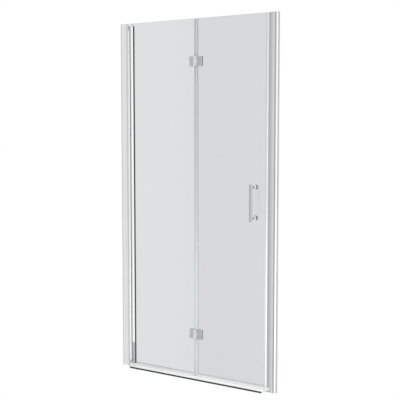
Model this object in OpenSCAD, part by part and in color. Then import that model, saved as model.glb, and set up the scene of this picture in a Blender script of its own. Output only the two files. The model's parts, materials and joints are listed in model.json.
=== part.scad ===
// Bifold shower door for a recess between two walls.
// The hinge-side glass turns on a full-height pivot stile, and the leading
// glass folds against its outer face on two glass-to-glass hinges.
// X runs along the opening from the hinge wall to the strike wall, Y runs
// from the room into the shower and Z runs up. Z = 0 is the shower tray and
// Y = 0 is the middle of the glass.

/* [Overall size] */
// Width between the two walls
door_w = 1000; // [760:5:1300]
// Height of the door above the shower tray
door_h = 1950; // [1500:5:2400]

/* [Glass] */
// Thickness of both panes
glass_t = 6; // [5:0.5:8]
// Height of the bottom edge of the glass above the tray
glass_lift = 20; // [17:0.5:30]
// Gap between the edges of the two panes at the fold
fold_gap = 8; // [6:0.5:12]
// Distance of the fold line from the middle of the door
fold_shift = 2; // [-40:1:40]

/* [Wall profiles] */
// Width of each adjusting jamb, along the opening
jamb_w = 44; // [36:1:50]
// Depth of each adjusting jamb, from its outside to its inside face
jamb_d = 22; // [22:0.5:28]
// Wall thickness of the adjusting jambs
jamb_t = 1.2; // [1:0.1:1.6]
// Distance from the glass centre plane to the front of the jambs
jamb_front = 13; // [12:0.5:13]
// Rise of the gently crowned front face of the jambs
jamb_crown = 0.4; // [0.3:0.1:0.8]
// Radius of the free corners of the jambs
jamb_r = 4; // [3:0.5:6]
// Width of the bevel along the wall side of the jamb fronts
jamb_bevel = 7.5; // [3:0.5:8]
// Width of the wall channels, from the wall to the flange tips
channel_w = 28; // [24:1:29]
// Wall thickness of the wall channels
channel_t = 1.5; // [1.2:0.1:2]
// Sliding clearance between a wall channel and its jamb, each side
slide_gap = 0.2; // [0.1:0.05:0.3]
// Strip of wall channel left showing on the hinge side
hinge_reveal = 6; // [6:0.5:12]
// Strip of wall channel left showing on the strike side
strike_reveal = 10; // [6:0.5:12]
// Radius of the wall screw holes
wall_hole_r = 3.25; // [2.5:0.25:4]
// Distance of the outer wall holes from the ends of the channel
wall_hole_inset = 150; // [80:5:250]
// Distance between the two inner wall holes
wall_hole_pitch = 550; // [300:10:700]
// Thickness of the top caps of the profiles
cap_t = 1.5; // [1:0.25:3]
// Depth of the peg under each top cap
cap_peg = 6; // [4:1:12]
// Distance of the jamb screws from the wall face
jamb_screw_side = 20; // [18:0.5:21]
// Distance of the outer jamb screws from the ends
jamb_screw_inset = 250; // [180:5:400]

/* [Pivot stile] */
// Outer diameter of the round stile
stile_d = 20; // [20:0.5:24]
// Wall thickness of the round stile
stile_t = 2; // [1.5:0.25:2.5]
// Clearance between the stile and the jamb
stile_gap = 1.5; // [1.5:0.1:3]
// Metal between the bore of the stile and its glazing slot
slot_web = 2.5; // [2:0.25:4]
// Depth of the glazing slot
slot_depth = 10.5; // [9:0.5:14]
// Thickness of the glazing lips
lip_t = 1.7; // [1.4:0.1:2.5]
// Thickness of the glazing gasket on each face of the glass
gasket_t = 1.8; // [1.4:0.1:2.5]
// Width of the gasket that shows beyond the glazing lips
gasket_show = 8; // [3:0.5:12]
// Bead on the showing part of the gasket
gasket_bead = 0.8; // [0.3:0.1:1.2]

/* [Pivots] */
// Radius of the pivot pins
pivot_r = 5; // [4:0.25:6]
// Radial running clearance of all hinge and pivot pins
run_fit = 0.05; // [0.02:0.01:0.09]
// Radial clearance of a pin pressed into its seat
press_fit = 0.02; // [0.01:0.01:0.03]
// Height of the bottom pivot arm
bottom_arm_h = 15; // [12:0.5:16]
// Height of the top pivot arm
top_arm_h = 13; // [11:0.5:18]
// Half width of the pivot arms where they pass through the jamb
arm_half = 7.5; // [6:0.25:7.6]
// Height of the plug that holds each pivot block in the jamb
block_plug_h = 35; // [28:1:60]
// Length of a pivot pin beyond its arm
pivot_reach = 18; // [14:1:22]
// Thickness of the thrust washer
washer_t = 1.2; // [0.8:0.1:2]
// End play above the thrust washer and below the top arm
end_play = 0.3; // [0.2:0.05:0.5]
// Thickness of the flange of a stile plug
plug_flange = 1.5; // [1:0.25:2.5]
// Depth of a stile plug inside the stile
plug_h = 25; // [20:1:40]

/* [Fold hinges] */
// Distance of each hinge centre from the ends of the glass
hinge_inset = 225; // [150:5:320]
// Height of a hinge plate
plate_h = 53; // [46:1:70]
// Width of a hinge plate
plate_w = 28; // [26:1:45]
// Thickness of a hinge plate
plate_t = 6; // [5:0.25:7]
// Distance from the fold axis to the near edge of a plate
plate_start = 11; // [10.5:0.25:14]
// Thickness of the pads between the plates and the glass
pad_t = 1; // [0.8:0.1:1.5]
// Distance of the fold axis in front of the outer face of the glass
axis_offset = 9; // [9:0.25:12]
// Radius of the hinge knuckles
knuckle_r = 8.5; // [6.5:0.25:8.5]
// Height of the middle knuckle
knuckle_mid = 25; // [18:1:30]
// Gap between neighbouring knuckles
knuckle_gap = 0.3; // [0.2:0.05:0.5]
// Radius of the hinge pins
hinge_pin_r = 3.5; // [3:0.25:4]
// Height between the two screws of a hinge plate
hinge_screw_pitch = 26; // [20:1:34]
// Radius of the hinge screws
hinge_screw_r = 3; // [2.5:0.25:3.5]
// Depth of the threaded holes in a hinge plate
thread_depth = 4.5; // [3.5:0.25:5]
// Radius of the hinge holes in the glass
hinge_hole_r = 7; // [6:0.25:8]
// Thickness of the inside clamp plates
clamp_t = 5; // [4:0.25:7]

/* [Handle] */
// Length of the handle bar
bar_l = 195; // [180:5:400]
// Width of the handle bar
bar_w = 11; // [10:0.5:16]
// Depth of the handle bar
bar_d = 20; // [14:0.5:24]
// Distance between the two handle posts
post_pitch = 160; // [100:5:160]
// Radius of the handle posts
post_r = 7.5; // [5.5:0.25:9]
// Distance from the glass to the front of the bar
handle_reach = 52; // [50:1:62]
// Distance from the handle to the free edge of the glass
handle_inset = 69; // [50:1:90]
// Radius of the handle rosettes
rosette_r = 13; // [11:0.5:16]
// Thickness of the handle rosettes
rosette_t = 8; // [4:0.5:8]
// Thickness of the black handle washers
handle_washer_t = 0.8; // [0.5:0.1:1.2]
// Radius of the spigots and bolts in the handle posts
handle_bolt_r = 4; // [3:0.25:4.5]
// Radius of the handle holes in the glass
handle_hole_r = 6; // [5:0.25:8]
// Depth of the inside caps of the handle
inner_cap_t = 9; // [7:0.5:12]

/* [Seals] */
// Thickness of the seal legs that grip the glass
leg_t = 1.2; // [0.8:0.1:1.4]
// Height of the legs of the drip seals
drip_leg = 6; // [4:0.5:10]
// Distance that the drip fin stands in front of the glass centre plane
drip_fin = 9.5; // [6:0.5:11]
// Clearance between the drip seals and the threshold
drip_gap = 0.8; // [0.5:0.1:2]
// Width of the legs of the fold seals
fold_leg = 7; // [6:0.5:9.5]
// Clearance between the two fold seals
fold_seal_gap = 0.6; // [0.4:0.1:1]
// Gap between the fold seals and a hinge
seal_break = 0.8; // [0.4:0.1:2]
// Width of the legs of the magnetic seal
magnet_leg = 8; // [6:0.5:12]
// Distance that the magnetic seal stands beyond the glass edge
magnet_seal_w = 8.6; // [6:0.1:10]
// Half thickness of the magnetic seal
magnet_seal_half = 5; // [4.5:0.25:6]
// Gap between the door seal and the strike seal
magnet_gap = 0.8; // [0.6:0.1:2]
// Distance that the strike seal stands proud of the jamb
holder_proud = 0.6; // [0.2:0.1:1]
// Half width of the strike seal
holder_half = 6; // [5.5:0.25:6.5]
// Thickness of the magnetic strips
magnet_t = 2.6; // [2:0.1:3]
// Half width of the magnetic strips
magnet_half = 3.5; // [2.5:0.25:3.5]
// Skin of seal material around a magnetic strip
magnet_skin = 1; // [0.8:0.1:1.2]

/* [Threshold] */
// Height of the threshold
sill_h = 10; // [7:0.5:10]
// Distance from the glass centre plane to the front of the threshold
sill_front = 50; // [36:1:60]
// Distance from the glass centre plane to the back of the threshold
sill_back = 12; // [9:0.5:20]
// Wall thickness of the threshold
sill_t = 1.4; // [1:0.1:1.8]
// Depth of the black foot strip, front to back
foot_d = 4; // [3:0.25:6]
// Lip of the threshold over the foot strip
foot_lip = 1; // [0.8:0.1:1.5]
// Thickness of the end caps of the threshold
sill_cap = 6; // [2:0.5:8]
// Clearance at each end of the threshold
sill_gap = 0.6; // [0.3:0.1:0.9]

/* [Hidden] */
$fn = 64;
tiny = 0.05;

x_left = -door_w / 2;
x_right = door_w / 2;
face = glass_t / 2;

// Jambs: u runs from the wall side to the free side of a jamb
jamb_back = jamb_d - jamb_front;
jamb_crown_r = (pow(jamb_w / 2, 2) + pow(jamb_crown, 2)) / (2 * jamb_crown);
bevel_y = -jamb_front + jamb_crown * pow(1 - 2 * jamb_bevel / jamb_w, 2);
hollow_y0 = -jamb_front + jamb_t + jamb_crown;
hollow_y1 = jamb_back - jamb_t;
channel_y0 = hollow_y0 + slide_gap;
channel_d = hollow_y1 - hollow_y0 - 2 * slide_gap;
channel_mid = channel_y0 + channel_d / 2;
profile_top = door_h - cap_t;
hinge_jamb_x = x_left + hinge_reveal;
hinge_side = hinge_jamb_x + jamb_w;
strike_jamb_x = x_right - strike_reveal;
strike_side = strike_jamb_x - jamb_w;
jamb_screw_z = [jamb_screw_inset, door_h / 2, door_h - jamb_screw_inset];
jamb_screw_x = [x_left + jamb_screw_side, x_right - jamb_screw_side];

// Thread-forming screws of the frame
tap_r = 1.9;
tap_head_r = 3.5;
tap_head_h = 2.2;
tap_clear = 0.2;
tap_length = 9;
tap_cap_r = 6;
tap_cap_h = 3.4;

// Groove in the free side of each jamb, with a mouth narrower than its floor
seal_wing = 1;
seal_wing_t = 1.5;
bead_r = 2;
bead_proud = 1;
mouth_half = holder_half + tap_clear;
groove_half = mouth_half + seal_wing;
holder_d = magnet_t + 2 * (tiny + magnet_skin);
groove_d = holder_d - holder_proud - jamb_t + 0.1;
groove_u = jamb_w - jamb_t - groove_d;

// Pivots
pivot_x = hinge_side + stile_gap + stile_d / 2;
stile_r = stile_d / 2;
arm_r = stile_r + 0.5;
stile_z0 = bottom_arm_h + washer_t + end_play + plug_flange;
stile_z1 = door_h - top_arm_h - end_play - plug_flange;
block_u0 = channel_w + 1;
block_top = profile_top - slide_gap;
block_screw_z = [block_plug_h - 12, block_top - block_plug_h + 12];
notch_gap = 0.2;
block_x0 = x_left + block_u0;
block_x1 = hinge_jamb_x + groove_u - jamb_t - notch_gap;
block_screw_x = (block_x0 + block_x1) / 2;
pin_seat = 1;

// Glazing slot of the stile
slot_floor = stile_r - stile_t + slot_web;
lip_reach = slot_floor + slot_depth;
slot_half = face + gasket_t;
lip_half = slot_half + lip_t;
pane_start = slot_floor + gasket_t;

// Panes
glass_h = door_h - glass_lift;
pivot_pane_x0 = pivot_x + pane_start;
pivot_pane_x1 = fold_shift - fold_gap / 2;
leading_pane_x0 = fold_shift + fold_gap / 2;
seal_free_x = strike_side - holder_proud - magnet_gap;
leading_pane_x1 = seal_free_x - magnet_seal_w;

// Fold hinges
axis_y = -face - axis_offset;
plate_back = -face - pad_t;
plate_front = plate_back - plate_t;
hinge_z = [glass_lift + hinge_inset, door_h - hinge_inset];
screw_off = plate_start + plate_w / 2;
screw_dz = [-hinge_screw_pitch / 2, hinge_screw_pitch / 2];
arm_back = axis_y + knuckle_r - 1;
clamp_front = face + pad_t + clamp_t;
countersink_r = hinge_screw_r + 2.5;
countersink_h = 2.5;
hinge_plate_r = 1;

// Handle
handle_x = leading_pane_x1 - handle_inset;
handle_z = glass_lift + glass_h / 2;
post_z = [handle_z - post_pitch / 2, handle_z + post_pitch / 2];
rosette_back = -face - handle_washer_t;
rosette_front = rosette_back - rosette_t;
bar_back = -face - handle_reach + bar_d;
spigot_h = 6;
bolt_head_r = handle_bolt_r + 2.5;
bolt_head_h = 4;
bolt_thread = 14;

// Seals
seal_z0 = sill_h + drip_gap;
seal_grip = face + leg_t;
seal_break_h = plate_h + 2 * seal_break;

// Threshold
sill_x0 = pivot_x + arm_r + sill_gap;
sill_x1 = strike_side - sill_gap;
foot_h = sill_h - foot_lip;
foot_in = 0.4;

// ---- Shared shapes ----

// Upright extrusion of a plan section from z0 to z1
module upright(z0, z1) {
    translate([0, 0, z0])
        linear_extrude(z1 - z0)
            children();
}

// Extrusion along X, from x0 to x1, of a section drawn in Y and Z
module along_x(x0, x1) {
    translate([x0, 0, 0])
        rotate([90, 0, 90])
            linear_extrude(x1 - x0)
                children();
}

// Round bar along Y, from y0 to y1, at x and z
module round_y(x, z, r, y0, y1, r_end = -1) {
    translate([x, y0, z])
        rotate([-90, 0, 0])
            cylinder(h = y1 - y0, r1 = r, r2 = r_end < 0 ? r : r_end);
}

// Block with its upright edges rounded, drawn by its two far corners
module soft_block(x0, x1, y0, y1, z0, z1, r) {
    upright(z0, z1) {
        translate([x0 + r, y0])
            square([x1 - x0 - 2 * r, y1 - y0]);
        translate([x0, y0 + r])
            square([x1 - x0, y1 - y0 - 2 * r]);
        for (x = [x0 + r, x1 - r], y = [y0 + r, y1 - r])
            translate([x, y])
                circle(r);
    }
}

// Puts a jamb section on the hinge side, or turned round on the strike side
module at_hinge_side() {
    translate([hinge_jamb_x, 0, 0])
        children();
}

module at_strike_side() {
    translate([strike_jamb_x, 0, 0])
        mirror([1, 0, 0])
            children();
}

// ---- Wall profiles ----

module channel_section() {
    difference() {
        translate([0, channel_y0])
            square([channel_w, channel_d]);
        translate([channel_t, channel_y0 + channel_t])
            square([channel_w, channel_d - 2 * channel_t]);
    }
}

module wall_holes() {
    for (z = [wall_hole_inset, door_h - wall_hole_inset,
              door_h / 2 - wall_hole_pitch / 2,
              door_h / 2 + wall_hole_pitch / 2])
        translate([-1, channel_mid, z])
            rotate([0, 90, 0])
                cylinder(h = channel_t + 2, r = wall_hole_r);
}

module wall_channel() {
    difference() {
        upright(0, profile_top)
            channel_section();
        wall_holes();
        for (z = jamb_screw_z)
            round_y(jamb_screw_side, z, tap_r + tiny, 0, jamb_back);
    }
}

module hinge_wall_channel() {
    color("gainsboro")
        translate([x_left, 0, 0])
            wall_channel();
}

module strike_wall_channel() {
    color("gainsboro")
        translate([x_right, 0, 0])
            mirror([1, 0, 0])
                wall_channel();
}

// Block from u = u0 to the free side, with that side's corners rounded
module free_rounded(u0, u1, y0, y1, r) {
    translate([u0, y0])
        square([u1 - r - u0, y1 - y0]);
    translate([u0, y0 + r])
        square([u1 - u0, y1 - y0 - 2 * r]);
    for (y = [y0 + r, y1 - r])
        translate([u1 - r, y])
            circle(r);
}

// Outline of a jamb: crowned front, bevel beside the wall, rounded free side
module jamb_outline() {
    difference() {
        intersection() {
            free_rounded(0, jamb_w, -jamb_front, jamb_back, jamb_r);
            translate([jamb_w / 2, -jamb_front + jamb_crown_r])
                circle(jamb_crown_r, $fn = 1440);
        }
        polygon([[-1, -jamb_front - 1], [jamb_bevel, -jamb_front - 1],
                 [jamb_bevel, bevel_y], [0, -jamb_front + jamb_t],
                 [-1, -jamb_front + jamb_t]]);
    }
}

// Rib that carries the seal groove on the inside of the free side
module groove_rib() {
    intersection() {
        free_rounded(0, jamb_w, -jamb_front, jamb_back, jamb_r);
        translate([groove_u - jamb_t, -groove_half - jamb_t])
            square([jamb_w, 2 * (groove_half + jamb_t)]);
    }
}

module jamb_section() {
    difference() {
        union() {
            difference() {
                jamb_outline();
                free_rounded(-1, jamb_w - jamb_t, hollow_y0, hollow_y1,
                             jamb_r - jamb_t);
            }
            intersection() {
                jamb_outline();
                groove_rib();
            }
        }
        translate([groove_u, -groove_half])
            square([groove_d, 2 * groove_half]);
        translate([jamb_w - jamb_t - 0.5, -mouth_half])
            square([jamb_t + 1, 2 * mouth_half]);
    }
}

// Openings for the two pivot arms in the free side of the hinge jamb
module arm_notches() {
    side = arm_half + notch_gap;
    for (z = [[-1, bottom_arm_h + notch_gap],
              [door_h - top_arm_h - notch_gap, door_h]])
        translate([groove_u - jamb_t - 1, -side, z[0]])
            cube([jamb_w, 2 * side, z[1] - z[0]]);
}

module hinge_jamb() {
    color("silver")
        difference() {
            at_hinge_side()
                difference() {
                    upright(0, profile_top)
                        jamb_section();
                    arm_notches();
                }
            for (z = jamb_screw_z)
                round_y(jamb_screw_x[0], z, tap_r + tap_clear, 0, jamb_d);
            for (z = block_screw_z)
                round_y(block_screw_x, z, tap_r + tap_clear, 0, jamb_d);
        }
}

module strike_jamb() {
    color("silver")
        difference() {
            at_strike_side()
                upright(0, profile_top)
                    jamb_section();
            for (z = jamb_screw_z)
                round_y(jamb_screw_x[1], z, tap_r + tap_clear, 0, jamb_d);
        }
}

// Cap over one jamb and the strip of channel beside it, with a peg below
module profile_cap(reveal) {
    peg_side = channel_t + 1;
    upright(profile_top, door_h) {
        jamb_outline();
        translate([-reveal, channel_y0])
            square([reveal + jamb_w / 2, channel_d]);
    }
    translate([channel_t + 2 - reveal, channel_y0 + peg_side,
               profile_top - cap_peg])
        cube([channel_w / 2, channel_d - 2 * peg_side, cap_peg + tiny]);
}

module hinge_jamb_cap() {
    color("lightgray")
        at_hinge_side()
            profile_cap(hinge_reveal);
}

module strike_jamb_cap() {
    color("lightgray")
        at_strike_side()
            profile_cap(strike_reveal);
}

// Foot that a seal has in the groove of a jamb
module seal_foot() {
    translate([jamb_w - jamb_t - tiny - seal_wing_t, -holder_half - seal_wing])
        square([seal_wing_t, 2 * (holder_half + seal_wing)]);
}

// Soft bead that closes the gap between the hinge jamb and the stile
module hinge_jamb_seal() {
    foot_u = jamb_w - jamb_t - 2 * tiny;
    color("whitesmoke")
        at_hinge_side()
            upright(block_plug_h + 1, block_top - block_plug_h - 1) {
                seal_foot();
                translate([foot_u, -holder_half])
                    square([jamb_t, 2 * holder_half]);
                translate([jamb_w + bead_proud - bead_r, 0])
                    circle(bead_r);
            }
}

module strike_magnet_holder() {
    pocket = magnet_t + 2 * tiny;
    color("white")
        at_strike_side()
            difference() {
                upright(0, profile_top - tiny) {
                    translate([jamb_w + holder_proud - holder_d, -holder_half])
                        square([holder_d, 2 * holder_half]);
                    seal_foot();
                }
                upright(-1, door_h)
                    translate([jamb_w + holder_proud - magnet_skin - pocket,
                               -magnet_half - tiny])
                        square([pocket, 2 * (magnet_half + tiny)]);
            }
}

module strike_magnet() {
    color("dimgray")
        at_strike_side()
            upright(0, profile_top - tiny)
                translate([jamb_w + holder_proud - magnet_skin - tiny - magnet_t,
                           -magnet_half])
                    square([magnet_t, 2 * magnet_half]);
}

// ---- Frame screws ----

// Pan-head screw driven from the shower side into the frame
module tap_screw(x, z) {
    difference() {
        union() {
            round_y(x, z, tap_r, jamb_back + tiny - tap_length, jamb_back + tiny);
            round_y(x, z, tap_head_r, jamb_back, jamb_back + tap_head_h,
                    tap_head_r - 0.6);
        }
        for (turn = [0, 90])
            translate([x, jamb_back + tap_head_h, z])
                rotate([0, turn, 0])
                    cube([3.6, 2.2, 0.9], center = true);
    }
}

module jamb_screws() {
    color("lightslategray")
        for (x = jamb_screw_x, z = jamb_screw_z)
            tap_screw(x, z);
}

module jamb_screw_caps() {
    color("lightgray")
        for (x = jamb_screw_x, z = jamb_screw_z)
            difference() {
                round_y(x, z, tap_cap_r, jamb_back, jamb_back + tap_cap_h,
                        tap_cap_r - 1);
                round_y(x, z, tap_head_r + tap_clear, jamb_back - 1,
                        jamb_back + tap_head_h + tap_clear);
            }
}

module pivot_block_screws() {
    color("lightslategray")
        for (z = block_screw_z)
            tap_screw(block_screw_x, z);
}

// ---- Pivots ----

// Plug in the jamb with an arm that reaches out over the pivot axis
module pivot_block(plug_z, arm_z0, arm_z1, bore_z, screw_z) {
    difference() {
        union() {
            translate([block_x0, channel_y0, plug_z])
                cube([block_x1 - block_x0, channel_d, block_plug_h]);
            translate([block_x1 - 1, -arm_half, arm_z0])
                cube([pivot_x - block_x1 + 1, 2 * arm_half, arm_z1 - arm_z0]);
            translate([pivot_x, 0, arm_z0])
                cylinder(h = arm_z1 - arm_z0, r = arm_r);
        }
        translate([pivot_x, 0, bore_z])
            cylinder(h = arm_z1 - arm_z0, r = pivot_r + press_fit);
        round_y(block_screw_x, screw_z, tap_r + tiny, 0, jamb_d);
    }
}

module bottom_pivot_block() {
    color("gray")
        pivot_block(0, 0, bottom_arm_h, pin_seat, block_screw_z[0]);
}

// The arm stops level with the profiles and its bore leaves a thin roof
module top_pivot_block() {
    color("gray")
        pivot_block(block_top - block_plug_h, door_h - top_arm_h, block_top,
                    block_top - pin_seat - (block_top - door_h + top_arm_h),
                    block_screw_z[1]);
}

module bottom_pivot_pin() {
    color("lightslategray")
        translate([pivot_x, 0, pin_seat])
            cylinder(h = bottom_arm_h - pin_seat + pivot_reach, r = pivot_r);
}

module top_pivot_pin() {
    color("lightslategray")
        translate([pivot_x, 0, door_h - top_arm_h - pivot_reach])
            cylinder(h = block_top - pin_seat - door_h + top_arm_h + pivot_reach,
                     r = pivot_r);
}

module pivot_thrust_washer() {
    color("white")
        upright(bottom_arm_h, bottom_arm_h + washer_t)
            translate([pivot_x, 0])
                difference() {
                    circle(arm_r - 0.5);
                    circle(pivot_r + 0.3);
                }
}

// ---- Pivot panel ----

module stile_section() {
    difference() {
        union() {
            circle(stile_r);
            translate([stile_r / 2, -lip_half])
                square([lip_reach - stile_r / 2, 2 * lip_half]);
        }
        circle(stile_r - stile_t);
        translate([slot_floor, -slot_half])
            square([lip_reach, 2 * slot_half]);
    }
}

module pivot_stile() {
    color("silver")
        upright(stile_z0, stile_z1)
            translate([pivot_x, 0])
                stile_section();
}

// U-shaped glazing gasket with a bead over the tips of the lips
module stile_gasket() {
    outside = lip_reach + tiny;
    tail = lip_reach + gasket_show;
    color([0.2, 0.2, 0.21])
        upright(stile_z0, stile_z1)
            translate([pivot_x, 0])
                difference() {
                    union() {
                        translate([slot_floor, -slot_half])
                            square([tail - slot_floor, 2 * slot_half]);
                        translate([outside, -slot_half - gasket_bead])
                            square([tail - outside, 2 * (slot_half + gasket_bead)]);
                    }
                    translate([pane_start, -face])
                        square([tail, glass_t]);
                }
}

module stile_plug() {
    difference() {
        union() {
            translate([0, 0, -plug_flange])
                cylinder(h = plug_flange, r = stile_r);
            cylinder(h = plug_h, r = stile_r - stile_t - press_fit);
        }
        translate([0, 0, -plug_flange - 1])
            cylinder(h = plug_h + plug_flange + 2, r = pivot_r + run_fit);
    }
}

module bottom_stile_plug() {
    color("darkgray")
        translate([pivot_x, 0, stile_z0])
            stile_plug();
}

module top_stile_plug() {
    color("darkgray")
        translate([pivot_x, 0, stile_z1])
            mirror([0, 0, 1])
                stile_plug();
}

module pane(x0, x1) {
    translate([x0, -face, glass_lift])
        cube([x1 - x0, glass_t, glass_h]);
}

// Holes of both hinges on one side of the fold; side is -1 or 1
module hinge_holes(side, r, y0, y1) {
    for (z = hinge_z, dz = screw_dz)
        round_y(fold_shift + side * screw_off, z + dz, r, y0, y1);
}

module pivot_glass() {
    color([0.85, 0.87, 0.87, 0.6])
        difference() {
            pane(pivot_pane_x0, pivot_pane_x1);
            hinge_holes(-1, hinge_hole_r, -glass_t, glass_t);
        }
}

module leading_glass() {
    color([0.84, 0.86, 0.86, 0.6])
        difference() {
            pane(leading_pane_x0, leading_pane_x1);
            hinge_holes(1, hinge_hole_r, -glass_t, glass_t);
            for (z = post_z)
                round_y(handle_x, z, handle_hole_r, -glass_t, glass_t);
        }
}

// ---- Seals ----

// Clip under the glass with a drip fin that leans out over the threshold
module drip_section() {
    web = glass_lift - leg_t;
    difference() {
        translate([-seal_grip, web])
            square([2 * seal_grip, leg_t + drip_leg]);
        translate([-face, glass_lift])
            square([glass_t, drip_leg + 1]);
    }
    polygon([[-seal_grip, web + leg_t], [-seal_grip, web - 1],
             [-drip_fin, seal_z0], [-drip_fin + 1.6, seal_z0],
             [-seal_grip + 2, web + leg_t]]);
    translate([face - leg_t, seal_z0])
        square([leg_t, web - seal_z0 + tiny]);
}

module drip_seal(x0, x1) {
    along_x(x0, x1)
        drip_section();
}

module pivot_drip_seal() {
    color([0.87, 0.88, 0.88])
        drip_seal(pivot_x + lip_reach + gasket_show + 0.2,
                  pivot_pane_x1 - fold_leg - 0.2);
}

module leading_drip_seal() {
    color([0.87, 0.88, 0.88])
        drip_seal(leading_pane_x0 + fold_leg + 0.2,
                  leading_pane_x1 - magnet_leg - 0.2);
}

// Clip on the fold edge of a pane; u runs from the fold axis into the pane
module fold_seal_section() {
    edge = fold_gap / 2;
    nose = fold_seal_gap / 2;
    difference() {
        polygon([[nose, -face], [nose + 1.4, -seal_grip],
                 [edge + fold_leg, -seal_grip], [edge + fold_leg, seal_grip],
                 [nose + 1.4, seal_grip], [nose, face]]);
        translate([edge, -face])
            square([fold_leg + 1, glass_t]);
        translate([nose + leg_t, -face + leg_t / 2])
            square([edge - nose - 2 * leg_t, glass_t - leg_t]);
    }
}

// The seal runs in three lengths, because the two hinges interrupt it
module fold_seal() {
    half = seal_break_h / 2;
    ends = [seal_z0, hinge_z[0] - half, hinge_z[0] + half,
            hinge_z[1] - half, hinge_z[1] + half, door_h];
    for (i = [0, 2, 4])
        upright(ends[i], ends[i + 1])
            fold_seal_section();
}

module fold_seal_pivot() {
    color([0.78, 0.85, 0.83])
        translate([fold_shift, 0, 0])
            mirror([1, 0, 0])
                fold_seal();
}

module fold_seal_leading() {
    color([0.81, 0.82, 0.83])
        translate([fold_shift, 0, 0])
            fold_seal();
}

module magnetic_seal() {
    pocket = magnet_t + 2 * tiny;
    color("white")
        difference() {
            upright(seal_z0, door_h) {
                translate([leading_pane_x1 - magnet_leg, -seal_grip])
                    square([magnet_leg + tiny, 2 * seal_grip]);
                translate([leading_pane_x1, -magnet_seal_half])
                    square([magnet_seal_w, 2 * magnet_seal_half]);
            }
            upright(0, door_h + 1) {
                translate([leading_pane_x1 - magnet_leg - 1, -face])
                    square([magnet_leg + 1, glass_t]);
                translate([seal_free_x - magnet_skin - pocket,
                           -magnet_half - tiny])
                    square([pocket, 2 * (magnet_half + tiny)]);
            }
        }
}

module door_magnet() {
    color("dimgray")
        upright(seal_z0, door_h)
            translate([seal_free_x - magnet_skin - tiny - magnet_t, -magnet_half])
                square([magnet_t, 2 * magnet_half]);
}

// ---- Fold hinges ----

// A leaf is drawn for the leading side; the pivot side is its mirror image
module leaf_body(z, knuckles) {
    difference() {
        union() {
            soft_block(plate_start, plate_start + plate_w, plate_front,
                       plate_back, z - plate_h / 2, z + plate_h / 2,
                       hinge_plate_r);
            for (k = knuckles) {
                translate([0, axis_y, z + k[0]])
                    cylinder(h = k[1] - k[0], r = knuckle_r);
                translate([0, plate_front, z + k[0]])
                    cube([plate_start + hinge_plate_r, arm_back - plate_front,
                          k[1] - k[0]]);
            }
        }
        for (dz = screw_dz)
            round_y(screw_off, z + dz, hinge_screw_r, plate_back - thread_depth,
                    plate_back + 1);
    }
}

module pin_bore(z, r) {
    translate([0, axis_y, z - plate_h])
        cylinder(h = 2 * plate_h, r = r);
}

module leading_leaf(z) {
    color("lightgray")
        translate([fold_shift, 0, 0])
            difference() {
                leaf_body(z, [[-knuckle_mid / 2, knuckle_mid / 2]]);
                pin_bore(z, hinge_pin_r + run_fit);
            }
}

module pivot_leaf(z) {
    inner = knuckle_mid / 2 + knuckle_gap;
    color("lightgray")
        translate([fold_shift, 0, 0])
            mirror([1, 0, 0])
                difference() {
                    leaf_body(z, [[-plate_h / 2, -inner],
                                  [inner, plate_h / 2]]);
                    pin_bore(z, hinge_pin_r + press_fit);
                }
}

module hinge_pin(z) {
    color("lightslategray")
        translate([fold_shift, axis_y, z - plate_h / 2])
            cylinder(h = plate_h, r = hinge_pin_r);
}

// Plate on the shower side that the hinge screws pull against the glass
module clamp(side, z) {
    color("lightgray")
        translate([fold_shift, 0, 0])
            difference() {
                soft_block(side > 0 ? plate_start : -plate_start - plate_w,
                           side > 0 ? plate_start + plate_w : -plate_start,
                           face + pad_t, clamp_front, z - plate_h / 2,
                           z + plate_h / 2, hinge_plate_r);
                for (dz = screw_dz) {
                    round_y(side * screw_off, z + dz, hinge_screw_r + tiny,
                            0, clamp_front + 1);
                    round_y(side * screw_off, z + dz, hinge_screw_r + tiny,
                            clamp_front - countersink_h, clamp_front,
                            countersink_r + tiny);
                }
            }
}

module pads(side) {
    near = side > 0 ? plate_start : -plate_start - plate_w;
    color("darkslategray")
        translate([fold_shift, 0, 0])
            for (z = hinge_z, y = [-face - pad_t, face])
                difference() {
                    translate([near, y, z - plate_h / 2])
                        cube([plate_w, pad_t, plate_h]);
                    for (dz = screw_dz)
                        round_y(side * screw_off, z + dz, hinge_screw_r + 0.3,
                                y - 1, y + pad_t + 1);
                }
}

module sleeve(x, z, hole_r, bolt_r) {
    difference() {
        round_y(x, z, hole_r - tiny, -face, face);
        round_y(x, z, bolt_r + 0.2, -glass_t, glass_t);
    }
}

module hinge_sleeves(side) {
    color("white")
        for (z = hinge_z, dz = screw_dz)
            sleeve(fold_shift + side * screw_off, z + dz, hinge_hole_r,
                   hinge_screw_r);
}

// Countersunk screw with a hexagon socket
module hinge_screw(x, z) {
    shank = hinge_screw_r - tiny;
    top = clamp_front - tiny;
    difference() {
        union() {
            round_y(x, z, shank, plate_back - thread_depth + 0.4, top);
            round_y(x, z, shank, top - countersink_h, top, countersink_r);
        }
        translate([x, top - 2, z])
            rotate([-90, 0, 0])
                cylinder(h = 3, r = 2.2, $fn = 6);
    }
}

module hinge_screws(side) {
    color("lightslategray")
        for (z = hinge_z, dz = screw_dz)
            hinge_screw(fold_shift + side * screw_off, z + dz);
}

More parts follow.
